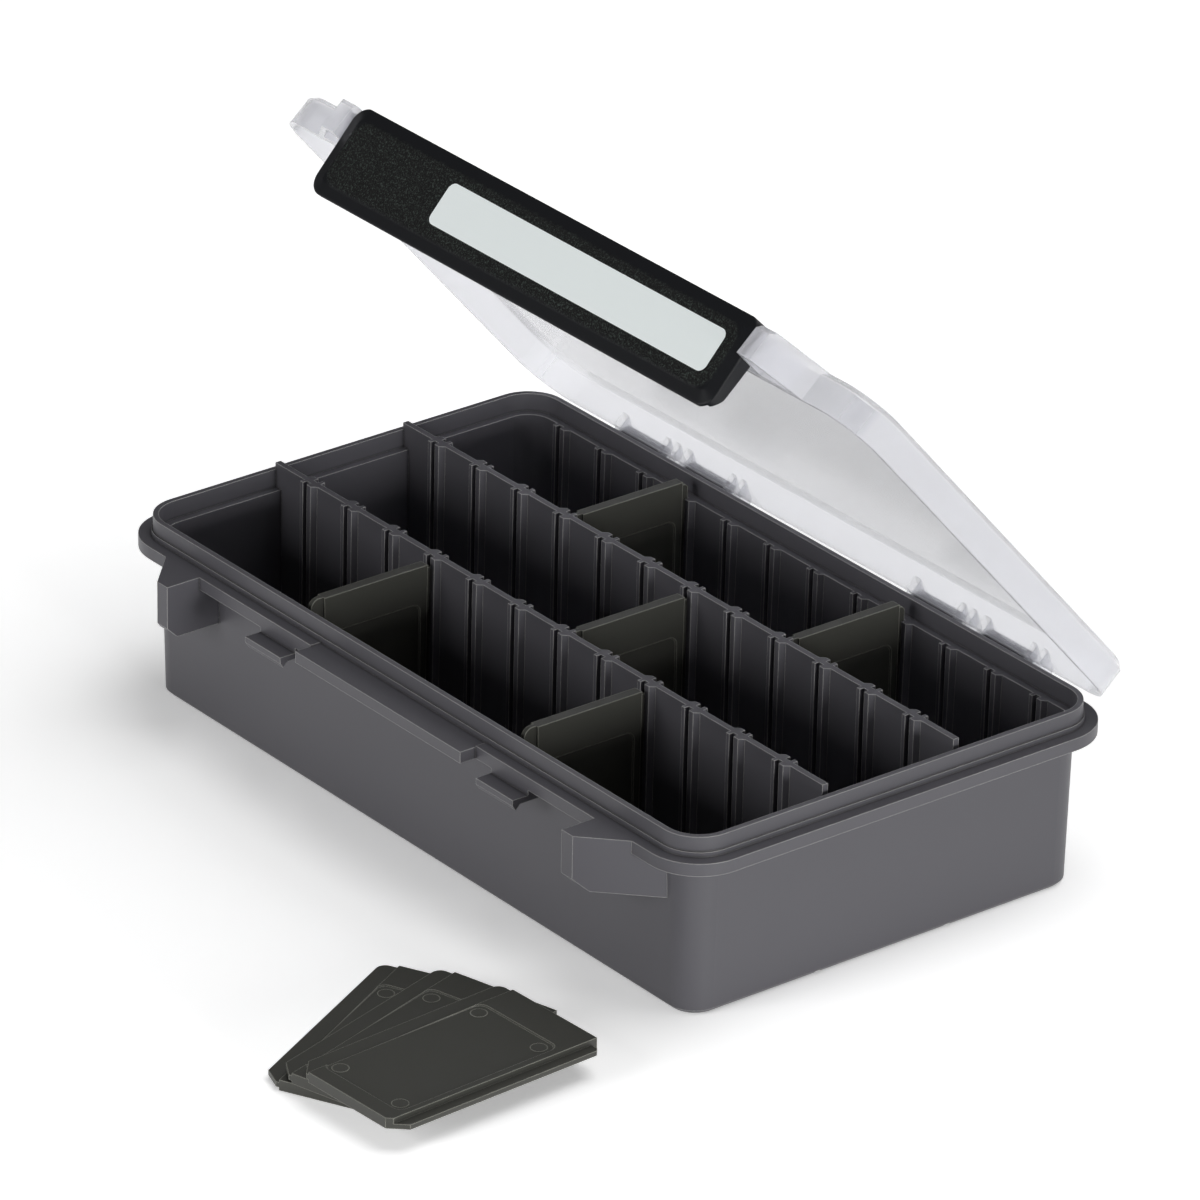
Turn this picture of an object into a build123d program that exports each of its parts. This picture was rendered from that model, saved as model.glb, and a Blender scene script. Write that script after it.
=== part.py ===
from build123d import *
import math
import os

# Compartment storage box for small parts: a deep tub with two fixed partitions, grooves for
# removable dividers, a clear hinged lid and a swinging latch along the front of the lid.
# Millimetres. The origin is the middle of the underside, +Z is up, +X runs along the box
# and -Y is the front, where the latch is.

# Rim and outer form of the tub
LIP_LENGTH = 272.0          # outside of the upright lip, along the box
LIP_DEPTH = 153.6           # outside of the upright lip, front to back
LIP_CORNER = 12.5           # corner radius of the lip, seen from above
LIP_TOP = 59.8              # height of the lip above the underside
LIP_WALL = 1.8
LIP_FOOT_OUT = 0.5          # the foot of the lip stands this much further out
LIP_FOOT_HEIGHT = 1.6
FLANGE_OUT = 4.5            # the ledge round the tub, measured out from the lip
FLANGE_TOP = 53.5
FLANGE_HEIGHT = 4.1
BODY_INSET_TOP = 2.6        # body wall behind the lip's outside, just under the flange
BODY_INSET_BOTTOM = 3.7     # and at the underside, which gives the moulding its draft
BODY_BEVEL = 1.3            # along the bottom edge

# Inside of the tub
WALL = 1.8                  # body wall at its top
INNER_INSET_BOTTOM = 0.8    # how much the inside narrows per side, ledge to floor
LEDGE_TOP = 53.8            # the inside step that the lip stands on
FLOOR = 2.0
ROOT = 0.4                  # how far partitions, ribs and blocks run into what carries them

# Fixed partitions
PARTITION_Y = 24.5          # middle of each partition, either side of the centre
PARTITION_WALL = 2.0        # thickness at the top
PARTITION_DRAFT = 0.4       # extra thickness per side at the floor
PARTITION_TOP = 61.9
PARTITION_END_GAP = 2.0     # free end to the inside of the right lip
SINK_WIDTH = 2.3            # channel in the underside below each partition
SINK_DEPTH = 0.9

# Grooves that hold the dividers: each is a slot between a thin rib and a wedge-backed block
GROOVE_INSET = 18.8         # from the left end of the lip to the middle of the first slot
GROOVE_PITCH = 20.93
GROOVE_STAGGER = 0.9        # slots that face +Y sit this much further along
SLOT_HALF = 1.0
RIB_WIDTH = 1.4
BLOCK_WIDTH = 2.0           # flat front of a block
BLOCK_SLOPE_RUN = 1.3       # along the wall, over which its far side slopes back
GUIDE_OUT = 1.6             # how far ribs and blocks stand out of their wall

# Catch strip, tabs and bumpers along the front
STRIP_HALF = 40.6
STRIP_OUT = 5.6             # in front of the flange
STRIP_DROP = 0.4            # its top lies a little below the flange
TAB_NEAR = 48.2
TAB_LENGTH = 17.7
TAB_TOP = 47.8
TAB_THICKNESS = 1.9
TAB_HOOK_DEPTH = 1.7
TAB_HOOK_WIDTH = 2.7
TAB_HOOK_NOSE = 1.1         # from the front of a tab to the tip of its hook
BUMPER_GAP = 1.3            # between the latch and a bumper
BUMPER_FACE = 5.2           # flat front of a bumper
BUMPER_OUT = 11.9           # in front of the flange
BUMPER_SLOPE = 1.03         # sideways run of its slanting side, per mm of depth
BUMPER_BOTTOM = 36.0
BUMPER_CHAMFER = 3.6
BUMPER_WALL = 2.0

# Hinges
HINGE_Y = 84.0
HINGE_Z = 54.0
BARREL_RADIUS = 3.2
HINGES_FROM_LEFT = (46.0, 78.3)     # middle of a knuckle, from the left end of the lip
HINGES_FROM_RIGHT = (83.2, 50.3)    # and from its right end
KNUCKLE_LENGTH = 18.6
CHEEK_GAP = 0.3             # between a knuckle and the lid's cheeks
CHEEK_NEAR = 3.0            # single cheek on the left of each knuckle
CHEEK_FAR = 2.0             # each of the two thin cheeks on its right
CHEEK_POCKET = 3.0          # hollow between those two
CHEEK_FOOT = 54.6           # where a cheek leaves the back of the lid
CHEEK_HEAD = 59.4
RELIEF_GAP = 0.5            # round the cheeks, where the flange is cut back
PIN_RADIUS = 1.1
RUNNING_GAP = 0.05          # radial play of a pin that turns
SEAT_GAP = 0.02             # radial play of a pin that is held

# Lid, drawn closed and then swung open about the hinge
LID_OPEN = 49.0             # degrees, as photographed
LID_OUT = 3.0               # outside of the lid, measured out from the lip
LID_WALL = 1.8
LID_TOP = 64.8
LID_PLATE = 1.8
LID_BEVEL = 1.7
LID_FLANGE_GAP = 0.4        # from the free edge of the lid down to the flange
EAR_GAP = 0.6               # between the latch and the ears beside it
EAR_FACE = 5.9              # flat front of an ear
EAR_FRONT = 93.0
OVERHANG = 3.0              # plate in front of the lid's front wall, behind the latch
BOSS_RADIUS = 2.6

# Latch, drawn with the lid closed
LATCH_HALF = 95.8
LATCH_TOP = 65.9
LATCH_BOTTOM = 36.0
LATCH_FACE_TOP = 92.3       # how far forward its face lies at the top
LATCH_LEAN = 3.4            # how much less at the bottom
LATCH_BORDER = 4.2          # width of the bevel all round the face
LATCH_BORDER_DEPTH = 1.1
LATCH_WALL = 1.4
LATCH_END_WALL = 1.8
LATCH_BACK = 84.5           # back edge of the end walls
LATCH_TOP_BACK = 85.2       # back edge of the top wall
LATCH_CORNER = 5.5
PIVOT_Y = -88.0
PIVOT_Z = 62.0
LATCH_PIN_RADIUS = 1.2
LATCH_PIN_REACH = 4.0       # into the ear
HOOK_HALF = 39.5
HOOK_TOP = 48.8
HOOK_HEIGHT = 3.0
HOOK_TIP = 1.0
HOOK_STRIP_GAP = 0.4        # from the hook out to the strip, before the latch is pressed home
LABEL_NEAR = -43.4          # left end of the label
LABEL_FAR = 87.2
LABEL_LOW = 44.3
LABEL_HIGH = 58.5
LABEL_THICKNESS = 0.3
LABEL_CORNER = 2.6

# Removable dividers
SLAB = 3.4                  # thickness of a divider
TONGUE = 1.6                # thickness of the edges that ride in the slots
LEFT_REACH = 4.4            # how far the left tongue stands out of the slab
RIGHT_REACH = 3.4
LEFT_TONGUE_SHIFT = 0.1     # middle of the left tongue from the middle of the slab
DIVIDER_TOP = 60.6
DIVIDER_LIFT = 0.2          # gap under a divider
DIVIDER_SIDE_GAP = 0.3      # between a tongue and the wall it slides on, at the top
DIVIDER_DRAFT = 0.65        # how much each side draws in towards the bottom
LEFT_TOP_ROUND = 3.0        # top corners of the two tongues
RIGHT_TOP_BEVEL = 1.0
RIGHT_TOP_DROP = 2.0        # from the top of the slab down to the right tongue's top
DIVIDER_CHAMFER = 5.0
HEADER = 12.0               # plain band above the sunk panel
PANEL_MARGIN = 5.4
PANEL_DEPTH = 0.4
PANEL_CORNER = 3.0
DIVIDER_PLACES = (          # channel (0 front, 1 middle, 2 back) and slot number from the left
    (0, 3),
    (0, 8),
    (1, 6),
    (2, 3),
    (2, 8),
)

# Three taller spare dividers, fanned out on the ground in front of the box
SPARE_HEIGHT = 76.5
SPARE_LEFT_REACH = 6.0
SPARE_GAP = 0.1
SPARE_X = (110.5, 115.7, 123.6)     # middle of the bottom edge, from the lowest one up
SPARE_Y = (-185.2, -186.7, -189.7)
SPARE_TURN = (26.2, 15.2, 3.0)

# Worked out from the sizes above
HALF_L = LIP_LENGTH / 2
HALF_D = LIP_DEPTH / 2
FLANGE_BOTTOM = FLANGE_TOP - FLANGE_HEIGHT
FLANGE_FRONT = HALF_D + FLANGE_OUT
INNER_L = HALF_L - BODY_INSET_TOP - WALL
INNER_D = HALF_D - BODY_INSET_TOP - WALL
LID_L = HALF_L + LID_OUT
LID_D = HALF_D + LID_OUT
LID_FOOT = FLANGE_TOP + LID_FLANGE_GAP
EAR_NEAR = LATCH_HALF + EAR_GAP
BUMPER_NEAR = LATCH_HALF + BUMPER_GAP
GROOVE_FIRST = GROOVE_INSET - HALF_L
GROOVE_COUNT = 1 + int((LIP_LENGTH - 2 * GROOVE_INSET) / GROOVE_PITCH)
HINGE_X = [inset - HALF_L for inset in HINGES_FROM_LEFT]
HINGE_X += [HALF_L - inset for inset in HINGES_FROM_RIGHT]
CHANNEL = PARTITION_Y * 2 - PARTITION_WALL
DIVIDER_WIDTH = CHANNEL - 2 * DIVIDER_SIDE_GAP
DIVIDER_BOTTOM = FLOOR + DIVIDER_LIFT
DIVIDER_HEIGHT = DIVIDER_TOP - DIVIDER_BOTTOM
SLAB_SHIFT = GROOVE_STAGGER - LEFT_TONGUE_SHIFT
FACE_SLOPE = LATCH_LEAN / (LATCH_TOP - LATCH_BOTTOM)
FACE_TILT = math.degrees(math.atan(FACE_SLOPE))


def block(x0, x1, y0, y1, z0, z1):
    """Plain block between two corners"""
    return Pos((x0 + x1) / 2, (y0 + y1) / 2, (z0 + z1) / 2) * Box(x1 - x0, y1 - y0, z1 - z0)


def prism_x(points, x0, x1):
    """Outline of (y, z) points carried along X"""
    outline = Plane.YZ.offset(x0) * make_face(Polyline(*points, close=True))
    return extrude(outline, x1 - x0, dir=(1, 0, 0))


def prism_z(points, z0, z1):
    """Outline of (x, y) points carried upward"""
    outline = Plane.XY.offset(z0) * make_face(Polyline(*points, close=True))
    return extrude(outline, z1 - z0, dir=(0, 0, 1))


def rod_x(y, z, radius, x0, x1):
    """Round bar along X"""
    return Pos((x0 + x1) / 2, y, z) * Rot(0, 90, 0) * Cylinder(radius, x1 - x0)


def rounded_block(half_x, half_y, radius, z0, z1, draw=0.0):
    """Upright block with round corners, whose sides draw in by this much at the bottom"""
    base = Plane.XY.offset(z0) * RectangleRounded(
        2 * (half_x - draw), 2 * (half_y - draw), radius - draw
    )
    angle = math.degrees(math.atan2(draw, z1 - z0))
    return extrude(base, z1 - z0, taper=-angle)


def tub_body():
    """Drafted outer body up to the flange, its bottom edge bevelled"""
    draw = BODY_INSET_BOTTOM - BODY_INSET_TOP
    body = rounded_block(
        HALF_L - BODY_INSET_TOP,
        HALF_D - BODY_INSET_TOP,
        LIP_CORNER - BODY_INSET_TOP,
        0,
        FLANGE_BOTTOM,
        draw,
    )
    return chamfer(body.edges().group_by(Axis.Z)[0], BODY_BEVEL)


def tub_flange():
    """Ledge round the tub"""
    return rounded_block(
        HALF_L + FLANGE_OUT, FLANGE_FRONT, LIP_CORNER + FLANGE_OUT, FLANGE_BOTTOM, FLANGE_TOP
    )


def tub_lip():
    """Upright lip on the flange, with its slightly wider foot"""
    lip = rounded_block(HALF_L, HALF_D, LIP_CORNER, FLANGE_TOP, LIP_TOP)
    foot = rounded_block(
        HALF_L + LIP_FOOT_OUT,
        HALF_D + LIP_FOOT_OUT,
        LIP_CORNER + LIP_FOOT_OUT,
        FLANGE_TOP,
        FLANGE_TOP + LIP_FOOT_HEIGHT,
    )
    return lip + foot


def tub_cavity():
    """Space inside the tub: narrow up to the ledge, wider inside the lip"""
    inner_corner = LIP_CORNER - BODY_INSET_TOP - WALL
    lower = rounded_block(INNER_L, INNER_D, inner_corner, FLOOR, LEDGE_TOP, INNER_INSET_BOTTOM)
    upper = rounded_block(
        HALF_L - LIP_WALL,
        HALF_D - LIP_WALL,
        LIP_CORNER - LIP_WALL,
        LEDGE_TOP,
        LIP_TOP + LIP_WALL,
    )
    return lower + upper


def partition(y):
    """Fixed wall along the box, thicker towards the floor"""
    half = PARTITION_WALL / 2
    foot = half + PARTITION_DRAFT
    points = [
        (y - foot, FLOOR - ROOT),
        (y + foot, FLOOR - ROOT),
        (y + half, PARTITION_TOP),
        (y - half, PARTITION_TOP),
    ]
    wall_end = -INNER_L - ROOT
    lip_end = -HALF_L + LIP_WALL - ROOT
    wall = prism_x(points, wall_end, HALF_L - LIP_WALL - PARTITION_END_GAP)
    over_ledge = prism_x(points, lip_end, wall_end)
    above = block(lip_end, wall_end, y - foot, y + foot, LEDGE_TOP - ROOT, PARTITION_TOP)
    return wall + (over_ledge & above)


def guide_profile(root_y, face, out, draft, top):
    """Side view of a rib or block that stands out of a leaning wall"""
    return [
        (root_y, FLOOR - ROOT),
        (face + out * (1 + draft / GUIDE_OUT), FLOOR - ROOT),
        (face + out, top),
        (root_y, top),
    ]


def guide_pair(slot, facing, root_y, face, draft, top):
    """Rib and block of one groove: facing is the side of the wall that they stand out of"""
    side = 1 if facing < 0 else -1
    at = slot if facing < 0 else slot + GROOVE_STAGGER
    out = facing * GUIDE_OUT
    profile = guide_profile(root_y, face, out, draft, top)
    rib = (at - side * SLOT_HALF, at - side * (SLOT_HALF + RIB_WIDTH))
    near = at + side * SLOT_HALF
    flat_end = near + side * BLOCK_WIDTH
    far = flat_end + side * BLOCK_SLOPE_RUN
    back = flat_end - side * BLOCK_SLOPE_RUN * draft / GUIDE_OUT
    tip = face + out + facing * draft
    plan = [(near, root_y), (near, tip), (back, tip), (far, face), (far, root_y)]
    wedge = prism_x(profile, min(near, far), max(near, far)) & prism_z(plan, 0, top)
    return [prism_x(profile, min(rib), max(rib)), wedge]


def groove_guides():
    """All ribs and blocks, on both faces of each partition and on the long walls"""
    guides = []
    root = INNER_D + ROOT
    for n in range(GROOVE_COUNT):
        slot = GROOVE_FIRST + n * GROOVE_PITCH
        for y in (-PARTITION_Y, PARTITION_Y):
            for facing in (-1, 1):
                face = y + facing * PARTITION_WALL / 2
                guides += guide_pair(slot, facing, y, face, PARTITION_DRAFT, PARTITION_TOP)
        guides += guide_pair(slot, -1, root, INNER_D, INNER_INSET_BOTTOM, LEDGE_TOP)
        guides += guide_pair(slot, 1, -root, -INNER_D, INNER_INSET_BOTTOM, LEDGE_TOP)
    return guides


def catch_strip():
    """Strip in the middle of the front that the latch hooks under"""
    return block(
        -STRIP_HALF,
        STRIP_HALF,
        -FLANGE_FRONT - STRIP_OUT,
        -HALF_D,
        FLANGE_BOTTOM,
        FLANGE_TOP - STRIP_DROP,
    )


def strip_step():
    """Shallow step in the flange above the catch strip"""
    return block(
        -STRIP_HALF,
        STRIP_HALF,
        -FLANGE_FRONT - STRIP_OUT,
        -HALF_D - LIP_FOOT_OUT,
        FLANGE_TOP - STRIP_DROP,
        FLANGE_TOP,
    )


def front_tab(x0):
    """Small shelf under the flange, with a hooked front edge"""
    front = -FLANGE_FRONT - STRIP_OUT
    low = TAB_TOP - TAB_THICKNESS
    shelf = [
        (front, TAB_TOP),
        (front, low),
        (front + TAB_HOOK_NOSE, low - TAB_HOOK_DEPTH),
        (front + TAB_HOOK_WIDTH, low),
        (-HALF_D + BODY_INSET_TOP, low),
        (-HALF_D + BODY_INSET_TOP, TAB_TOP),
    ]
    backing = block(
        x0, x0 + TAB_LENGTH, -FLANGE_FRONT, -HALF_D + BODY_INSET_TOP, low, FLANGE_BOTTOM
    )
    return prism_x(shelf, x0, x0 + TAB_LENGTH) + backing


def bumper(side):
    """Hollow buffer beside the latch, open underneath, its outer side slanting back"""
    root = HALF_D - BODY_INSET_BOTTOM
    front = FLANGE_FRONT + BUMPER_OUT
    corner = BUMPER_NEAR + BUMPER_FACE
    outline = [
        (side * BUMPER_NEAR, -root),
        (side * BUMPER_NEAR, -front),
        (side * corner, -front),
        (side * (corner + BUMPER_SLOPE * (front - root)), -root),
    ]
    solid = prism_z(outline, BUMPER_BOTTOM, FLANGE_TOP)
    wedge = prism_x(
        [
            (-front, BUMPER_BOTTOM),
            (-front + BUMPER_CHAMFER, BUMPER_BOTTOM),
            (-front, BUMPER_BOTTOM + BUMPER_CHAMFER),
        ],
        -HALF_L,
        HALF_L,
    )
    back = root + BUMPER_WALL / 2
    inner_front = front - BUMPER_WALL
    inner_near = BUMPER_NEAR + BUMPER_WALL
    inner_corner = corner - BUMPER_WALL / 2
    hollow = [
        (side * inner_near, -back),
        (side * inner_near, -inner_front),
        (side * inner_corner, -inner_front),
        (side * (inner_corner + BUMPER_SLOPE * (inner_front - back)), -back),
    ]
    return solid - wedge - prism_z(hollow, BUMPER_BOTTOM, FLANGE_BOTTOM)


def pin_span(x):
    """Left and right ends of a hinge pin: through one cheek on each side of the knuckle"""
    left = x - KNUCKLE_LENGTH / 2 - CHEEK_GAP - CHEEK_NEAR
    right = x + KNUCKLE_LENGTH / 2 + CHEEK_GAP + CHEEK_FAR
    return left, right


def hinge_span(x):
    """Left and right ends of one whole hinge, cheeks included"""
    left, right = pin_span(x)
    return left, right + CHEEK_POCKET + CHEEK_FAR


def base_knuckle(x):
    """Barrel on the back of the flange, with the web that carries it"""
    web = [
        (HALF_D, FLANGE_BOTTOM),
        (FLANGE_FRONT, FLANGE_BOTTOM),
        (HINGE_Y, HINGE_Z - BARREL_RADIUS),
        (HINGE_Y, HINGE_Z),
        (HINGE_Y - BARREL_RADIUS, FLANGE_TOP),
        (HALF_D, FLANGE_TOP),
    ]
    left = x - KNUCKLE_LENGTH / 2
    right = x + KNUCKLE_LENGTH / 2
    barrel = rod_x(HINGE_Y, HINGE_Z, BARREL_RADIUS, left, right)
    bore = rod_x(HINGE_Y, HINGE_Z, PIN_RADIUS + RUNNING_GAP, left, right)
    return prism_x(web, left, right) + barrel - bore


def hinge_relief(x):
    """Notch in the edge of the flange that leaves room for the lid's cheeks"""
    left, right = hinge_span(x)
    near = HINGE_Y - BARREL_RADIUS - RELIEF_GAP
    return block(
        left - RELIEF_GAP, right + RELIEF_GAP, near, HINGE_Y, FLANGE_BOTTOM, FLANGE_TOP
    )


def base_tub():
    """The whole tub moulding"""
    shell = tub_body() + tub_flange() + tub_lip() - tub_cavity()
    shell -= strip_step()
    for x in HINGE_X:
        shell -= hinge_relief(x)
    outside = [catch_strip(), front_tab(-TAB_NEAR - TAB_LENGTH), front_tab(TAB_NEAR)]
    outside += [bumper(-1), bumper(1)]
    outside += [base_knuckle(x) for x in HINGE_X]
    inside = [partition(-PARTITION_Y), partition(PARTITION_Y)] + groove_guides()
    tub = shell + outside + inside
    for y in (-PARTITION_Y, PARTITION_Y):
        tub -= block(-HALF_L, HALF_L, y - SINK_WIDTH / 2, y + SINK_WIDTH / 2, 0, SINK_DEPTH)
    return tub


def ear_outline(side, inset=0.0):
    """Corner of the lid beside the latch, seen from above: its outer side slants at 45 degrees"""
    slant = EAR_FRONT - LID_D
    corner = EAR_NEAR + EAR_FACE
    near = EAR_NEAR + inset
    return [
        (side * near, -LID_D - inset),
        (side * near, -EAR_FRONT + inset),
        (side * (corner - inset * math.tan(math.pi / 8)), -EAR_FRONT + inset),
        (side * (corner + slant - inset * (1 + math.sqrt(2))), -LID_D - inset),
    ]


def lid_outer():
    """Outside of the closed lid with its ears, edges bevelled"""
    cap = rounded_block(LID_L, LID_D, LIP_CORNER + LID_OUT, LID_FOOT, LID_TOP)
    cap = chamfer(cap.edges().group_by(Axis.Z)[-1], LID_BEVEL)
    for side in (-1, 1):
        points = ear_outline(side)
        points[0] = (points[0][0], -LID_D + LID_WALL)
        points[3] = (points[3][0] + side * LID_WALL, -LID_D + LID_WALL)
        ear = prism_z(points, LID_FOOT, LID_TOP)
        front = ear.edges().group_by(Axis.Z)[-1].group_by(Axis.Y)[0]
        cap += chamfer(front, LID_BEVEL)
    return cap


def lid_hollow():
    """Space under the lid plate and inside the ears"""
    top = LID_TOP - LID_PLATE
    inner = rounded_block(
        LID_L - LID_WALL, LID_D - LID_WALL, LIP_CORNER + LID_OUT - LID_WALL, LID_FOOT, top
    )
    ears = [prism_z(ear_outline(side, LID_WALL), LID_FOOT, top) for side in (-1, 1)]
    return [inner] + ears


def lid_cheek(x0, x1):
    """Hinge cheek standing off the back of the lid, round about the hinge axis"""
    arm = [
        (LID_D - LID_WALL / 2, CHEEK_FOOT),
        (HINGE_Y, HINGE_Z),
        (HINGE_Y, HINGE_Z + BARREL_RADIUS),
        (LID_D - LID_WALL / 2, CHEEK_HEAD),
    ]
    return prism_x(arm, x0, x1) + rod_x(HINGE_Y, HINGE_Z, BARREL_RADIUS, x0, x1)


def lid_hinge_cheeks():
    """The three cheeks of every hinge"""
    cheeks = []
    for x in HINGE_X:
        left, middle = pin_span(x)
        right = hinge_span(x)[1]
        cheeks.append(lid_cheek(left, left + CHEEK_NEAR))
        cheeks.append(lid_cheek(middle - CHEEK_FAR, middle))
        cheeks.append(lid_cheek(right - CHEEK_FAR, right))
    return cheeks


def lid_shell():
    """The clear lid, still closed"""
    lid = lid_outer()
    for space in lid_hollow():
        lid -= space
    overhang = block(
        -EAR_NEAR, EAR_NEAR, -LID_D - OVERHANG, -LID_D + LID_WALL, LID_TOP - LID_PLATE, LID_TOP
    )
    lid = lid + overhang + lid_hinge_cheeks()
    for side in (-1, 1):
        x0, x1 = sorted((side * EAR_NEAR, side * (EAR_NEAR + LATCH_PIN_REACH)))
        lid += rod_x(PIVOT_Y, PIVOT_Z, BOSS_RADIUS, x0, x1)
        lid -= rod_x(PIVOT_Y, PIVOT_Z, LATCH_PIN_RADIUS + SEAT_GAP, x0, x1)
    for x in HINGE_X:
        left, right = pin_span(x)
        lid -= rod_x(HINGE_Y, HINGE_Z, PIN_RADIUS + SEAT_GAP, left, right)
    return lid


def hinge_pin(x):
    """Steel pin of one hinge"""
    left, right = pin_span(x)
    return rod_x(HINGE_Y, HINGE_Z, PIN_RADIUS, left, right)


def latch_face_y(z):
    """Y of the latch's front face at a height"""
    return -LATCH_FACE_TOP + FACE_SLOPE * (LATCH_TOP - z)


def face_plane(x, z):
    """Plane on the latch's leaning front face, its X along the box"""
    upright = Plane(origin=(x, latch_face_y(z), z), x_dir=(1, 0, 0), z_dir=(0, -1, 0))
    return upright * Rot(FACE_TILT, 0, 0)


def latch_block():
    """Solid form of the latch square to its face, with a bevelled border all round"""
    height = (LATCH_TOP - LATCH_BOTTOM) / math.cos(math.radians(FACE_TILT))
    face = face_plane(0, (LATCH_TOP + LATCH_BOTTOM) / 2)
    edge = face * Pos(0, 0, -LATCH_BORDER_DEPTH)
    outline = edge * RectangleRounded(2 * LATCH_HALF, height, LATCH_CORNER)
    lean = math.degrees(math.atan(LATCH_BORDER / LATCH_BORDER_DEPTH))
    raised = extrude(outline, LATCH_BORDER_DEPTH, taper=lean)
    return raised + extrude(outline, LATCH_BACK - LATCH_FACE_TOP - LATCH_WALL)


def latch_cover():
    """The latch: a long cover with a tilted face, end walls and a hook behind"""
    outer = [
        (-LATCH_TOP_BACK, LATCH_TOP),
        (latch_face_y(LATCH_TOP), LATCH_TOP),
        (latch_face_y(LATCH_BOTTOM), LATCH_BOTTOM),
        (latch_face_y(LATCH_BOTTOM) + LATCH_BORDER_DEPTH + LATCH_WALL, LATCH_BOTTOM),
        (-LATCH_BACK, LATCH_BOTTOM + LATCH_CORNER),
        (-LATCH_BACK, PIVOT_Z),
    ]
    ceiling = LATCH_TOP - LATCH_END_WALL
    ceiling_back = ceiling - FACE_SLOPE * (LATCH_FACE_TOP - LATCH_BACK)
    bend = LATCH_BOTTOM + LATCH_BORDER
    hollow = [
        (-LATCH_BACK + LATCH_WALL, ceiling_back),
        (latch_face_y(ceiling) + LATCH_WALL + LATCH_BORDER_DEPTH / 2, ceiling),
        (latch_face_y(LATCH_TOP - LATCH_BORDER) + LATCH_WALL, LATCH_TOP - LATCH_BORDER),
        (latch_face_y(bend) + LATCH_WALL, bend),
        (latch_face_y(LATCH_BOTTOM) + LATCH_BORDER_DEPTH + LATCH_WALL, LATCH_BOTTOM),
        (-LATCH_BACK + LATCH_WALL, LATCH_BOTTOM),
    ]
    reach = LATCH_HALF - LATCH_END_WALL
    cover = prism_x(outer, -LATCH_HALF, LATCH_HALF) & latch_block()
    cover -= prism_x(hollow, -reach, reach)
    cover += latch_hook()
    cover -= rod_x(PIVOT_Y, PIVOT_Z, LATCH_PIN_RADIUS + RUNNING_GAP, -LATCH_HALF, LATCH_HALF)
    return cover - label_plate()


def latch_hook():
    """Wedge behind the face that snaps under the catch strip"""
    root = latch_face_y(HOOK_TOP) + LATCH_WALL / 2
    tip = -FLANGE_FRONT - STRIP_OUT - HOOK_STRIP_GAP
    points = [
        (root, HOOK_TOP),
        (tip, HOOK_TOP),
        (tip, HOOK_TOP - HOOK_TIP),
        (root, HOOK_TOP - HOOK_HEIGHT),
    ]
    return prism_x(points, -HOOK_HALF, HOOK_HALF)


def label_plate():
    """Writing panel let into the latch's face"""
    width = LABEL_FAR - LABEL_NEAR
    height = LABEL_HIGH - LABEL_LOW
    middle_x = (LABEL_FAR + LABEL_NEAR) / 2
    middle_z = (LABEL_HIGH + LABEL_LOW) / 2
    outline = face_plane(middle_x, middle_z) * RectangleRounded(width, height, LABEL_CORNER)
    return extrude(outline, -LABEL_THICKNESS)


def latch_pin(side):
    """Pivot pin between an ear of the lid and an end of the latch"""
    x0, x1 = sorted((side * (LATCH_HALF - LATCH_END_WALL), side * (EAR_NEAR + LATCH_PIN_REACH)))
    return rod_x(PIVOT_Y, PIVOT_Z, LATCH_PIN_RADIUS, x0, x1)


def swing(piece):
    """Swing a piece that is drawn closed to the photographed opening of the lid"""
    return Pos(0, HINGE_Y, HINGE_Z) * Rot(-LID_OPEN, 0, 0) * Pos(0, -HINGE_Y, -HINGE_Z) * piece


def divider_outline(height, left_inset=0.0, right_inset=0.0):
    """Front view of a divider, its sides moved in by the insets"""
    top = DIVIDER_WIDTH / 2
    low = top - DIVIDER_DRAFT
    return [
        (left_inset - low, 0),
        (low - right_inset, 0),
        (top - right_inset, height),
        (left_inset - top, height),
    ]


def divider_plate(height, x0, x1):
    """The full outline with its chamfered lower corners"""
    plate = prism_x(divider_outline(height), x0, x1)
    corners = plate.edges().filter_by(Axis.X).group_by(Axis.Z)
    return chamfer(corners[0], DIVIDER_CHAMFER)


def divider_tongue(height, middle, side):
    """One half of the outline, as thick as a tongue, with its top corner softened"""
    x0 = middle - TONGUE / 2
    x1 = middle + TONGUE / 2
    top = height if side < 0 else height - RIGHT_TOP_DROP
    plate = divider_plate(top, x0, x1)
    corners = plate.edges().filter_by(Axis.X).group_by(Axis.Z)[-1]
    plate = fillet(corners, LEFT_TOP_ROUND) if side < 0 else chamfer(corners, RIGHT_TOP_BEVEL)
    y0, y1 = sorted((0, side * DIVIDER_WIDTH))
    return plate & block(x0, x1, y0, y1, 0, top)


def divider(height, left_reach):
    """One divider standing on its bottom edge, its sunk panel towards +X"""
    half = SLAB / 2
    left = divider_tongue(height, LEFT_TONGUE_SHIFT, -1)
    right = divider_tongue(height, TONGUE / 2 - half, 1)
    slab = prism_x(divider_outline(height, left_reach, RIGHT_REACH), -half, half)
    slab = slab & divider_plate(height, -half, half)
    panel_width = DIVIDER_WIDTH - 2 * (DIVIDER_DRAFT + PANEL_MARGIN)
    panel_height = height - HEADER - PANEL_MARGIN
    face = Plane(origin=(half, 0, PANEL_MARGIN + panel_height / 2), z_dir=(1, 0, 0), x_dir=(0, 1, 0))
    panel = extrude(
        face * RectangleRounded(panel_width, panel_height, PANEL_CORNER), -PANEL_DEPTH, taper=45
    )
    return left + right + slab - panel


def fitted_divider(channel, slot):
    """Divider standing in its groove"""
    x = GROOVE_FIRST + slot * GROOVE_PITCH + SLAB_SHIFT
    y = (channel - 1) * (PARTITION_Y + INNER_D + PARTITION_WALL / 2) / 2
    return Pos(x, y, DIVIDER_BOTTOM) * divider(DIVIDER_HEIGHT, LEFT_REACH)


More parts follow.
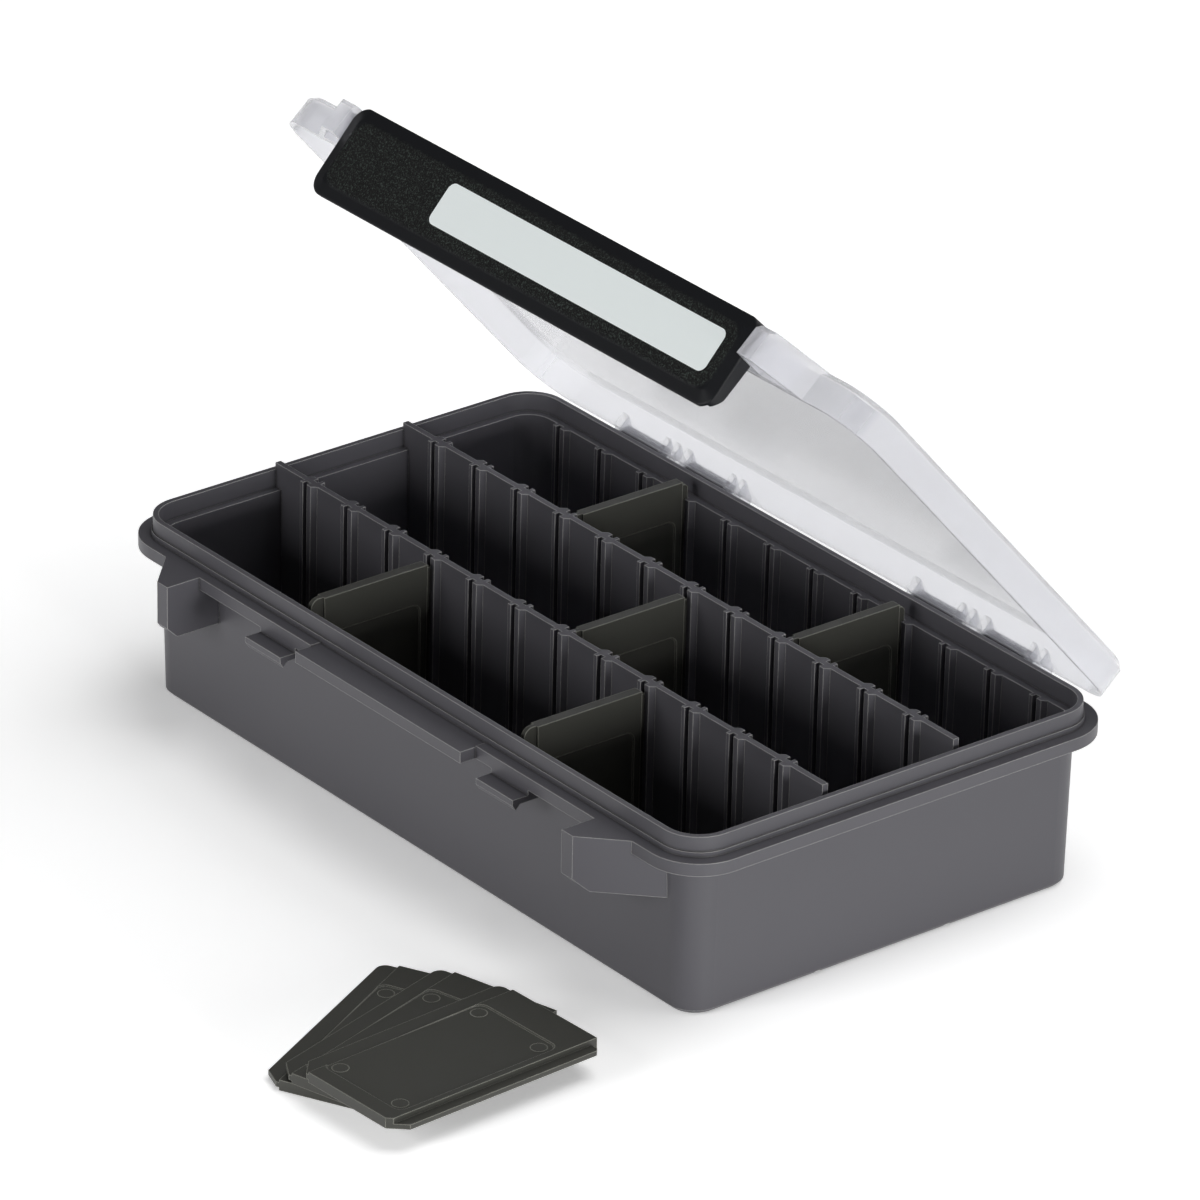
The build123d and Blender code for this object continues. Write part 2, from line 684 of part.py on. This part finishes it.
def spare_divider(layer, x, y, turn):
    """Divider lying on the ground, or on the one below it"""
    middle = layer * (SLAB + SPARE_GAP) + SLAB / 2
    lying = Plane(origin=(0, 0, 0), x_dir=(0, 0, 1), z_dir=(0, 1, 0)).location
    return Pos(x, y, middle) * Rot(0, 0, turn) * lying * divider(SPARE_HEIGHT, SPARE_LEFT_REACH)


def build():
    """Every piece of the box by name"""
    parts = {"base_tub": base_tub(), "lid_shell": swing(lid_shell())}
    for n, x in enumerate(HINGE_X, start=1):
        parts[f"hinge_pin_{n}"] = swing(hinge_pin(x))
    parts["latch_cover"] = swing(latch_cover())
    parts["latch_label"] = swing(label_plate())
    parts["latch_pin_left"] = swing(latch_pin(-1))
    parts["latch_pin_right"] = swing(latch_pin(1))
    for n, (channel, slot) in enumerate(DIVIDER_PLACES, start=1):
        parts[f"divider_{n}"] = fitted_divider(channel, slot)
    for n, (x, y, turn) in enumerate(zip(SPARE_X, SPARE_Y, SPARE_TURN)):
        parts[f"spare_divider_{n + 1}"] = spare_divider(n, x, y, turn)
    return parts


os.makedirs("parts", exist_ok=True)
for node, shape in build().items():
    export_step(shape, f"parts/{node}.step")
    print(node, round(shape.volume))
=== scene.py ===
"""Looks of the compartment storage box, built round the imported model."""

import math

import bpy
import numpy as np
from mathutils import Matrix, Vector

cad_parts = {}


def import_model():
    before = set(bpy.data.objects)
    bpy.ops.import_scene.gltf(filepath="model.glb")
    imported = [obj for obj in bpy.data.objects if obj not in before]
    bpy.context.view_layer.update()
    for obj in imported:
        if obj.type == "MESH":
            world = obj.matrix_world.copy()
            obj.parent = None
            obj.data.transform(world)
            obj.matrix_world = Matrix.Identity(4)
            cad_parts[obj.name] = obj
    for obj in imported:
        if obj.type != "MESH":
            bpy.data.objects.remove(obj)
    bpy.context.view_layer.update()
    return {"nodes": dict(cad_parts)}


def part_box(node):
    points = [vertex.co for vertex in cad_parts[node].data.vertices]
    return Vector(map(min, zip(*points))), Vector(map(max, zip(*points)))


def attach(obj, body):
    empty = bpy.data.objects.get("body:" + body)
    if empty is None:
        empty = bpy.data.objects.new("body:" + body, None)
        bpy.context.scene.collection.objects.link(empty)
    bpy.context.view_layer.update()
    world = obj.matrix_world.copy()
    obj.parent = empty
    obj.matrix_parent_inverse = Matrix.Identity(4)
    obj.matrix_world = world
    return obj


MM = 0.001

# View of the photograph: angles in degrees, lengths in metres, lens and sensor in millimetres
AZIMUTH = 51.61
ELEVATION = 26.81
ROLL = 1.05
CAMERA_DISTANCE = 2.91754
AIM_HEIGHT = 0.030
LENS = 291.416
SENSOR_WIDTH = 36
SHIFT_X = -0.0071
SHIFT_Y = 0.0774
CLIP_START = 0.05
CLIP_END = 60

# Lamps: name, azimuth and elevation in degrees, distance and size in metres, power in watts
LAMP_AIM = Vector((0, 0, 0.03))
LAMPS = (
    ("lamp_key", 150, 74, 2.2, 1.6, 22.0),
    ("lamp_right", 84, 4.5, 2.2, 0.5, 33.0),
    ("lamp_front", -4, 19, 1.0, 0.41, 3.5),
)
SKY = 0.09                    # the sky's strength as light
SKY_SEEN = 1.0                # and as the background

# Floor: how pale it is as a reflector of light and as it is seen, and the light of its own that it
# shows, which grows from near to far over the glow's reach from the middle of the box's shadow
FLOOR_HALF = 12.0
FLOOR_DROP = 0.0002
FLOOR_SHADE = 0.90
FLOOR_SEEN_SHADE = 1.14
GLOW_NEAR = 0.225
GLOW_FAR = 0.50
GLOW_MIDDLE = Vector((-0.03, -0.10, 0))
GLOW_REACH = (0.10, 0.31)

# Places taken from the model, the lid's and the latch's with the lid shut
LID_OPEN = math.radians(49.0)
HINGE = Vector((0.0, 0.084, 0.054))
LID_SIDE = (0.1335, 0.1370)   # from the lid's plate to its side walls, off the middle
LID_FRONT = (0.160, 0.164)    # from the plate to the front wall, off the hinge
LATCH_FACE = Vector((0, -0.0906, 0.05095))    # middle of the face
LATCH_TILT = math.atan(3.4 / 29.9)
LATCH_PANEL = {"half_width": 0.0921, "half_height": 0.0112, "corner": 0.0060, "blur": 0.0014}
PANEL_DEPTH = 0.4 * MM
PANEL_LOW = 5.4 * MM
SPARE_PANEL_TOP = 64.5 * MM
# Foot of each spare's middle line in millimetres and its turn in degrees
SPARE_FEET = ((110.5, -185.2, 26.2), (115.7, -186.7, 15.2), (123.6, -189.7, 3.0))

# Ejector-pin discs: the profile gives shares of the radius and heights
DISC_POINTS = 24
DISC_RADIUS = 2.6 * MM
DISC_ASIDE = 13.2 * MM
DISC_ROWS = (PANEL_LOW + 3.6 * MM, SPARE_PANEL_TOP - 4.2 * MM)
DISC_PROFILE = (
    (1.0, -0.10 * MM), (1.0, 0.06 * MM), (0.98, 0.08 * MM), (0.94, 0.08 * MM), (0.92, 0.05 * MM),
)

# Moulded skin: size of grain and waves in millimetres, and scale of the patches per millimetre
GRAIN_SIZE = 0.5
WAVE_SIZE = 22.0
WAVE_SHARE = 0.5
PATCH_SCALE = 0.011
GRAIN_DEPTH = 0.06 * MM

# Soft edges: gain of the edge mask, reach of the look into the air in radii, and the shares of free
# air at a crease and at an edge that stands out
EDGE_SAMPLES = 4
EDGE_GAIN = 10.0
AIR_REACH = 2.5
FREE_AIR = (0.65, 0.95)

# How far creases go to the painted shade, edges to the painted highlight and the lid's walls to
# the pale colour of painted scattered light
CREASE_SHADE_SHARE = 0.6
HIGHLIGHT_SHARE = 0.85
LID_WALL_SHARE = 0.6

FLOAT = "NodeSocketFloat"
VECTOR = "NodeSocketVector"


# Surfaces


def ring_mesh(name, points):
    """Mesh from rings of points, one ring to a row: neighbours make quads, each ring closes on
    itself, and one face closes each end"""
    rows, cols = points.shape[:2]
    index = np.arange(rows * cols).reshape(rows, cols)
    right = np.roll(index, -1, axis=1)
    quads = np.stack([index[:-1], right[:-1], right[1:], index[1:]], axis=-1).reshape(-1, 4)
    faces = [*quads.tolist(), index[-1].tolist(), index[0][::-1].tolist()]
    mesh = bpy.data.meshes.new(name)
    mesh.from_pydata(points.reshape(-1, 3).tolist(), [], faces)
    mesh.update()
    return mesh


def turned_disc(name, origin, x_dir, y_dir):
    """Solid turned about the normal of x_dir and y_dir: the point at share r and height h of the
    profile, at turn t, is origin + radius * r * (cos t * x_dir + sin t * y_dir) + h * normal"""
    turn = np.linspace(0, 2 * np.pi, DISC_POINTS, endpoint=False)
    share, height = (column[:, None, None] for column in np.array(DISC_PROFILE).T)
    circle = np.outer(np.cos(turn), x_dir) + np.outer(np.sin(turn), y_dir)
    points = origin + circle * (DISC_RADIUS * share) + height * np.cross(x_dir, y_dir)
    return ring_mesh(name, points)


def add_piece(mesh, material, body):
    """Puts a finished mesh into the scene on its body"""
    piece = bpy.data.objects.new(mesh.name, mesh)
    bpy.context.scene.collection.objects.link(piece)
    mesh.materials.append(material)
    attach(piece, body)


# Node helpers


def srgb(*values):
    """Linear colour of 0..255 screen values"""
    linear = []
    for value in values:
        share = value / 255
        linear.append(share / 12.92 if share <= 0.04045 else ((share + 0.055) / 1.055) ** 2.4)
    return (*linear, 1.0)


def feed(tree, node, inputs):
    """Sets a node's inputs; inputs maps each label or number to a socket or a plain value"""
    for label, value in inputs.items():
        if isinstance(value, bpy.types.NodeSocket):
            tree.links.new(value, node.inputs[label])
        else:
            node.inputs[label].default_value = value


def add_node(tree, kind, inputs, **settings):
    """Node of a kind with its settings and inputs"""
    node = tree.nodes.new(kind)
    for label, value in settings.items():
        setattr(node, label, value)
    feed(tree, node, inputs)
    return node


def math_node(tree, operation, *values, clamp=False):
    """Result of a Math node; the values are sockets or numbers"""
    inputs = dict(enumerate(values))
    return add_node(tree, "ShaderNodeMath", inputs, operation=operation, use_clamp=clamp).outputs[0]


def vector_value(tree, operation, *vectors):
    """Number that a Vector Math node makes of its vectors"""
    inputs = dict(enumerate(vectors))
    return add_node(tree, "ShaderNodeVectorMath", inputs, operation=operation).outputs["Value"]


def noise(tree, vector, scale, detail, roughness):
    """Noise value"""
    inputs = {"Vector": vector, "Scale": scale, "Detail": detail, "Roughness": roughness}
    return add_node(tree, "ShaderNodeTexNoise", inputs).outputs[0]


def between(tree, share, low, high):
    """Number that runs from low to high with share"""
    inputs = {"Value": share, "To Min": low, "To Max": high}
    return add_node(tree, "ShaderNodeMapRange", inputs).outputs[0]


def spread(tree, value, low, high):
    """Value stretched so that low becomes 0 and high 1, clamped"""
    inputs = {"Value": value, "From Min": low, "From Max": high}
    return add_node(tree, "ShaderNodeMapRange", inputs).outputs[0]


def mix_colour(tree, share, low, high):
    """Colour that runs from low to high with share"""
    inputs = {0: share, 6: low, 7: high}
    return add_node(tree, "ShaderNodeMix", inputs, data_type="RGBA").outputs[2]


def bump(tree, height, distance, strength, normal=None):
    """Normal of a Bump node, which starts from another normal where one is given"""
    inputs = {"Height": height, "Distance": distance, "Strength": strength}
    if normal is not None:
        inputs["Normal"] = normal
    return add_node(tree, "ShaderNodeBump", inputs).outputs[0]


def object_vector(tree, middle=None, turn=0.0):
    """Object coordinates, or these from a middle and then turned about X"""
    source = tree.nodes.new("ShaderNodeTexCoord").outputs["Object"]
    if middle is None:
        return source
    moved = add_node(tree, "ShaderNodeMapping", {"Vector": source, "Location": tuple(-middle)})
    inputs = {"Vector": moved.outputs[0], "Rotation": (turn, 0, 0)}
    return add_node(tree, "ShaderNodeMapping", inputs).outputs[0]


def seen_by(tree, *rays):
    """1 for the Light Path's rays named, 0 for all others"""
    path = tree.nodes.new("ShaderNodeLightPath")
    seen = path.outputs[rays[0]]
    for ray in rays[1:]:
        seen = math_node(tree, "MAXIMUM", seen, path.outputs[ray])
    return seen


def new_group(name, inputs, outputs):
    """Empty shader group with named sockets; returns its tree, input node and output node"""
    tree = bpy.data.node_groups.new(name, "ShaderNodeTree")
    for label, kind, value in inputs:
        socket = tree.interface.new_socket(name=label, in_out="INPUT", socket_type=kind)
        if value is not None:
            socket.default_value = value
    for label, kind in outputs:
        tree.interface.new_socket(name=label, in_out="OUTPUT", socket_type=kind)
    return tree, tree.nodes.new("NodeGroupInput"), tree.nodes.new("NodeGroupOutput")


def place_group(tree, group, **values):
    """Group node in a material; each value is for the input of that name in title case"""
    inputs = {label.replace("_", " ").title(): value for label, value in values.items()}
    return add_node(tree, "ShaderNodeGroup", inputs, node_tree=group)


# Shared effects


def moulded_skin_group():
    """Fine spark grain, slow waviness and faint tone patches of an injection-moulded face"""
    tree, source, target = new_group(
        "moulded_skin",
        [
            ("Vector", VECTOR, None),
            ("Grain Size", FLOAT, GRAIN_SIZE),
            ("Grain Share", FLOAT, 0.5),
            ("Wave Size", FLOAT, WAVE_SIZE),
        ],
        [("Height", FLOAT), ("Tone", FLOAT), ("Grain", FLOAT)],
    )
    inputs = {0: source.outputs["Vector"], "Scale": 1 / MM}
    vector = add_node(tree, "ShaderNodeVectorMath", inputs, operation="SCALE").outputs[0]
    grain_scale = math_node(tree, "DIVIDE", 1.0, source.outputs["Grain Size"])
    wave_scale = math_node(tree, "DIVIDE", 1.0, source.outputs["Wave Size"])
    grain = noise(tree, vector, grain_scale, detail=2.0, roughness=0.6)
    wave = noise(tree, vector, wave_scale, detail=1.0, roughness=0.4)
    patch = noise(tree, vector, PATCH_SCALE, detail=3.0, roughness=0.55)
    fine = math_node(tree, "MULTIPLY", grain, source.outputs["Grain Share"])
    height = math_node(tree, "ADD", fine, math_node(tree, "MULTIPLY", wave, WAVE_SHARE))
    feed(tree, target, {"Height": height, "Tone": patch, "Grain": grain})
    return tree


def soft_edge_group():
    """Normal rounded over sharp edges, a mask of the edges that stand out, and one of the creases,
    which are told apart by how much of the air close by is free"""
    tree, source, target = new_group(
        "soft_edge",
        [("Radius", FLOAT, 0.0003)],
        [("Normal", VECTOR), ("Edge", FLOAT), ("Crease", FLOAT)],
    )
    radius = source.outputs["Radius"]
    rounded = add_node(tree, "ShaderNodeBevel", {"Radius": radius}, samples=EDGE_SAMPLES).outputs[0]
    flat = tree.nodes.new("ShaderNodeNewGeometry").outputs["Normal"]
    away = math_node(tree, "SUBTRACT", 1.0, vector_value(tree, "DOT_PRODUCT", rounded, flat))
    edge = math_node(tree, "MULTIPLY", away, EDGE_GAIN, clamp=True)
    inputs = {"Distance": math_node(tree, "MULTIPLY", radius, AIR_REACH)}
    air = add_node(
        tree, "ShaderNodeAmbientOcclusion", inputs, samples=EDGE_SAMPLES, only_local=True
    )
    free = spread(tree, air.outputs["AO"], *FREE_AIR)
    edge = math_node(tree, "MULTIPLY", edge, free)
    crease = math_node(tree, "SUBTRACT", 1.0, free)
    feed(tree, target, {"Normal": rounded, "Edge": edge, "Crease": crease})
    return tree


def panel_mask_group():
    """1 inside an upright rounded rectangle in the X and Z of its vector, 0 outside: the distance
    to the rectangle's border is taken from the corner-rounded box formula"""
    tree, source, target = new_group(
        "panel_mask",
        [
            ("Vector", VECTOR, None),
            ("Half Width", FLOAT, 0.09),
            ("Half Height", FLOAT, 0.01),
            ("Corner", FLOAT, 0.003),
            ("Blur", FLOAT, 0.001),
        ],
        [("Inside", FLOAT)],
    )
    corner = source.outputs["Corner"]
    split = add_node(tree, "ShaderNodeSeparateXYZ", {0: source.outputs["Vector"]})
    squares = []
    for axis, half in (("X", "Half Width"), ("Z", "Half Height")):
        inner = math_node(tree, "SUBTRACT", source.outputs[half], corner)
        away = math_node(tree, "SUBTRACT", math_node(tree, "ABSOLUTE", split.outputs[axis]), inner)
        over = math_node(tree, "MAXIMUM", away, 0.0)
        squares.append(math_node(tree, "MULTIPLY", over, over))
    reach = math_node(tree, "SQRT", math_node(tree, "ADD", *squares))
    depth = math_node(tree, "SUBTRACT", corner, reach)
    inside = math_node(tree, "DIVIDE", depth, source.outputs["Blur"], clamp=True)
    feed(tree, target, {"Inside": inside})
    return tree


# Materials

# Painted shade: the dark colour that creases are darkened towards
PAINTED_CREASE_SHADE = srgb(24, 23, 22)


def new_material(name):
    """Material with a Principled shader; returns the material, its tree and the shader"""
    material = bpy.data.materials.new(name)
    material.use_nodes = True
    tree = material.node_tree
    shader = next(n for n in tree.nodes if n.type == "BSDF_PRINCIPLED")
    return material, tree, shader


def hard_plastic(name, groups, dark, light, edge_highlight, gloss, grain_share, edge):
    """Opaque moulded plastic: tone patches from dark to light, painted shade in the creases, a
    painted highlight along the edges and a grained gloss"""
    material, tree, shader = new_material(name)
    skin = place_group(
        tree, groups["skin"], vector=object_vector(tree), grain_size=GRAIN_SIZE,
        grain_share=grain_share, wave_size=WAVE_SIZE,
    )
    rim = place_group(tree, groups["edge"], radius=edge)
    crease = math_node(tree, "MULTIPLY", rim.outputs["Crease"], CREASE_SHADE_SHARE)
    # Painted highlight: edges that stand out are turned paler, as where light catches them
    painted_highlight = math_node(tree, "MULTIPLY", rim.outputs["Edge"], HIGHLIGHT_SHARE)
    base = mix_colour(tree, skin.outputs["Tone"], dark, light)
    # Painted shade: creases are darkened where the air close by is shut in
    base = mix_colour(tree, crease, base, PAINTED_CREASE_SHADE)
    normal = rim.outputs["Normal"]
    feed(tree, shader, {
        "Base Color": mix_colour(tree, painted_highlight, base, edge_highlight),
        "Roughness": between(tree, skin.outputs["Grain"], *gloss),
        "Normal": bump(tree, skin.outputs["Height"], GRAIN_DEPTH, 1.0, normal),
        "IOR": 1.49,
    })
    return material


def latch_plastic(groups):
    """Black latch: pebbled inside a smooth border that follows its outline; the border is painted
    paler as a reflection of the floor, and pale specks on the pebbles are painted glints
    """
    material, tree, shader = new_material("latch_black")
    middle = HINGE + Matrix.Rotation(-LID_OPEN, 3, "X") @ (LATCH_FACE - HINGE)
    vector = object_vector(tree, middle, LID_OPEN + LATCH_TILT)
    panel = place_group(tree, groups["panel"], vector=vector, **LATCH_PANEL)
    skin = place_group(
        tree, groups["skin"], vector=vector, grain_size=0.55, grain_share=1.6, wave_size=18.0,
    )
    rim = place_group(tree, groups["edge"], radius=0.0009)
    inside = panel.outputs["Inside"]
    grain = skin.outputs["Grain"]
    pebbles = math_node(tree, "MULTIPLY", spread(tree, grain, 0.36, 0.62), inside)
    # Painted glints: pale specks on the pebbles where light catches them
    painted_glint = math_node(tree, "MULTIPLY", spread(tree, grain, 0.54, 0.67), inside)
    # Black face, with the border painted paler as a reflection of the floor
    black_and_rim_sheen = mix_colour(tree, inside, srgb(24, 25, 28), srgb(6, 7, 7))
    feed(tree, shader, {
        "Base Color": mix_colour(tree, painted_glint, black_and_rim_sheen, srgb(62, 70, 66)),
        "Roughness": between(tree, inside, 0.36, 0.62),
        "Normal": bump(tree, pebbles, 0.16 * MM, 1.0, rim.outputs["Normal"]),
        "IOR": 1.33,
    })
    return material


def label_film(groups):
    """Pale label: matt, with the faintest fibre in it"""
    material, tree, shader = new_material("label_pale")
    skin = place_group(
        tree, groups["skin"], vector=object_vector(tree), grain_size=0.25, grain_share=0.4,
        wave_size=30.0,
    )
    grain = skin.outputs["Grain"]
    feed(tree, shader, {
        "Base Color": mix_colour(tree, grain, srgb(246, 255, 254), srgb(250, 255, 255)),
        "Roughness": 0.55,
        "Normal": bump(tree, skin.outputs["Height"], 0.02 * MM, 0.6),
    })
    return material


def clear_lid(groups):
    """Frosted clear polypropylene: part lets the view through, part scatters it; at edges and in
    the upright walls at its sides and front, which are seen through more of the plastic, painted
    scattered light makes it paler and less clear"""
    material, tree, shader = new_material("lid_clear")
    skin = place_group(
        tree, groups["skin"], vector=object_vector(tree), grain_size=0.9, grain_share=0.10,
        wave_size=16.0,
    )
    rim = place_group(tree, groups["edge"], radius=0.0006)
    tone = skin.outputs["Tone"]
    place = add_node(tree, "ShaderNodeSeparateXYZ", {0: object_vector(tree, HINGE, LID_OPEN)})
    side = spread(tree, math_node(tree, "ABSOLUTE", place.outputs["X"]), *LID_SIDE)
    front = spread(tree, math_node(tree, "MULTIPLY", place.outputs["Y"], -1.0), *LID_FRONT)
    walls = math_node(tree, "MULTIPLY", math_node(tree, "MAXIMUM", side, front), LID_WALL_SHARE)
    # Painted scattered light: the walls and edges get a paler colour and less clearness
    painted_scatter = math_node(tree, "MAXIMUM", walls, rim.outputs["Edge"])
    body = mix_colour(tree, tone, srgb(220, 221, 228), srgb(228, 229, 236))
    normal = rim.outputs["Normal"]
    feed(tree, shader, {
        "Base Color": mix_colour(tree, painted_scatter, body, srgb(252, 252, 255)),
        "Roughness": between(tree, tone, 0.14, 0.22),
        "Normal": bump(tree, skin.outputs["Height"], 0.12 * MM, 0.6, normal),
        "Alpha": between(tree, painted_scatter, 0.48, 0.80),
        "Transmission Weight": 0.52,
        "IOR": 1.3,
    })
    return material


def pin_steel():
    """Drawn steel: fine lines along the pin"""
    material, tree, shader = new_material("pin_steel")
    inputs = {"Vector": object_vector(tree), "Scale": (40, 2500, 2500)}
    stretch = add_node(tree, "ShaderNodeMapping", inputs)
    lines = noise(tree, stretch.outputs[0], 1.0, detail=3.0, roughness=0.5)
    feed(tree, shader, {
        "Base Color": mix_colour(tree, lines, srgb(170, 172, 175), srgb(205, 206, 208)),
        "Roughness": between(tree, lines, 0.25, 0.42),
        "Metallic": 1.0,
    })
    return material


# Extra pieces


def moulding_discs(material):
    """Ejector-pin discs in the corners of every spare's sunk panel: a low disc with a rim"""
    for number, (x, y, turn) in enumerate(SPARE_FEET, start=1):
        node = f"spare_divider_{number}"
        _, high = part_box(node)
        angle = math.radians(turn)
        across = np.array((math.cos(angle), math.sin(angle), 0))
        along = np.array((-math.sin(angle), math.cos(angle), 0))
        for row, s in enumerate(DISC_ROWS):
            for column, t in enumerate((-DISC_ASIDE, DISC_ASIDE)):
                spot = np.array((x * MM, y * MM, high.z - PANEL_DEPTH)) + along * s + across * t
                mesh = turned_disc(f"{node}_disc_{row}_{column}", spot, across, along)
                add_piece(mesh, material, node)


# Stage, light and camera


def direction(azimuth, elevation):
    """Unit vector towards an azimuth and elevation in radians"""
    level = math.cos(elevation)
    return Vector((math.sin(azimuth) * level, -math.cos(azimuth) * level, math.sin(elevation)))


def floor_white():
    """Matt floor, paler and with a light of its own for the camera, mirrors and clear plastic"""
    material = bpy.data.materials.new("floor_white")
    material.use_nodes = True
    tree = material.node_tree
    tree.nodes.clear()
    seen = seen_by(tree, "Is Camera Ray", "Is Glossy Ray", "Is Transmission Ray")
    shade = between(tree, seen, FLOOR_SHADE, FLOOR_SEEN_SHADE)
    distance = vector_value(tree, "LENGTH", object_vector(tree, GLOW_MIDDLE))
    glow = between(tree, spread(tree, distance, *GLOW_REACH), GLOW_NEAR, GLOW_FAR)
    glow = math_node(tree, "MULTIPLY", seen, glow)
    matt = add_node(tree, "ShaderNodeBsdfDiffuse", {"Color": shade})
    light = add_node(tree, "ShaderNodeEmission", {"Strength": glow})
    both = add_node(tree, "ShaderNodeAddShader", {0: matt.outputs[0], 1: light.outputs[0]})
    add_node(tree, "ShaderNodeOutputMaterial", {"Surface": both.outputs[0]})
    return material


def studio():
    """Pale floor, even sky and soft lamps"""
    mesh = bpy.data.meshes.new("floor")
    corners = ((-1, -1), (1, -1), (1, 1), (-1, 1))
    mesh.from_pydata([(x * FLOOR_HALF, y * FLOOR_HALF, 0) for x, y in corners], [], [(0, 1, 2, 3)])
    floor = bpy.data.objects.new("floor", mesh)
    floor.location.z = -FLOOR_DROP
    bpy.context.scene.collection.objects.link(floor)
    mesh.materials.append(floor_white())

    world = bpy.data.worlds.new("studio")
    bpy.context.scene.world = world
    world.use_nodes = True
    tree = world.node_tree
    seen = seen_by(tree, "Is Camera Ray", "Is Transmission Ray")
    strength = between(tree, seen, SKY, SKY_SEEN)
    feed(tree, tree.nodes["Background"], {"Color": (1, 1, 1, 1), "Strength": strength})

    for name, azimuth, elevation, distance, size, power in LAMPS:
        place = distance * direction(math.radians(azimuth), math.radians(elevation))
        light = bpy.data.lights.new(name, "AREA")
        light.shape = "SQUARE"
        light.size = size
        light.energy = power
        lamp = bpy.data.objects.new(name, light)
        lamp.location = place
        lamp.rotation_mode = "QUATERNION"
        lamp.rotation_quaternion = (LAMP_AIM - place).to_track_quat("-Z", "Y")
        bpy.context.scene.collection.objects.link(lamp)


def photo_camera():
    """Camera at the photograph's angle"""
    azimuth, elevation, roll = (math.radians(angle) for angle in (AZIMUTH, ELEVATION, ROLL))
    back = direction(azimuth, elevation)
    right = Vector((math.cos(azimuth), math.sin(azimuth), 0))
    up = back.cross(right)
    right, up = (
        right * math.cos(roll) + up * math.sin(roll),
        -right * math.sin(roll) + up * math.cos(roll),
    )
    data = bpy.data.cameras.new("camera")
    data.sensor_width = SENSOR_WIDTH
    data.lens = LENS
    data.shift_x = SHIFT_X
    data.shift_y = SHIFT_Y
    data.clip_start = CLIP_START
    data.clip_end = CLIP_END
    camera = bpy.data.objects.new("camera", data)
    camera.rotation_mode = "QUATERNION"
    camera.rotation_quaternion = Matrix((right, up, back)).transposed().to_quaternion()
    camera.location = Vector((0, 0, AIM_HEIGHT)) + back * CAMERA_DISTANCE
    bpy.context.scene.collection.objects.link(camera)
    bpy.context.scene.camera = camera


# The scene


def dress(frame, materials):
    """Gives every carried-over node its finished material, found by the start of its name"""
    for name, node in frame["nodes"].items():
        for start, material in materials.items():
            if name.startswith(start):
                node.data.materials.clear()
                node.data.materials.append(material)


def main():
    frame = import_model()
    bpy.context.scene.view_settings.view_transform = "Standard"
    photo_camera()
    studio()
    groups = {"skin": moulded_skin_group(), "edge": soft_edge_group(), "panel": panel_mask_group()}
    # The pale edge colours below are painted highlights, not wear
    tub = hard_plastic(
        "tub_grey", groups, dark=srgb(80, 79, 84), light=srgb(85, 84, 89),
        edge_highlight=srgb(205, 203, 200), gloss=(0.40, 0.50), grain_share=0.10, edge=0.00035,
    )
    divider = hard_plastic(
        "divider_olive", groups, dark=srgb(56, 56, 51), light=srgb(60, 60, 55),
        edge_highlight=srgb(165, 165, 154), gloss=(0.42, 0.52), grain_share=0.12, edge=0.0004,
    )
    steel = pin_steel()
    materials = {
        "base_tub": tub,
        "divider": divider,
        "spare_divider": divider,
        "lid_shell": clear_lid(groups),
        "latch_cover": latch_plastic(groups),
        "latch_label": label_film(groups),
        "hinge_pin": steel,
        "latch_pin": steel,
    }
    dress(frame, materials)
    moulding_discs(divider)


main()
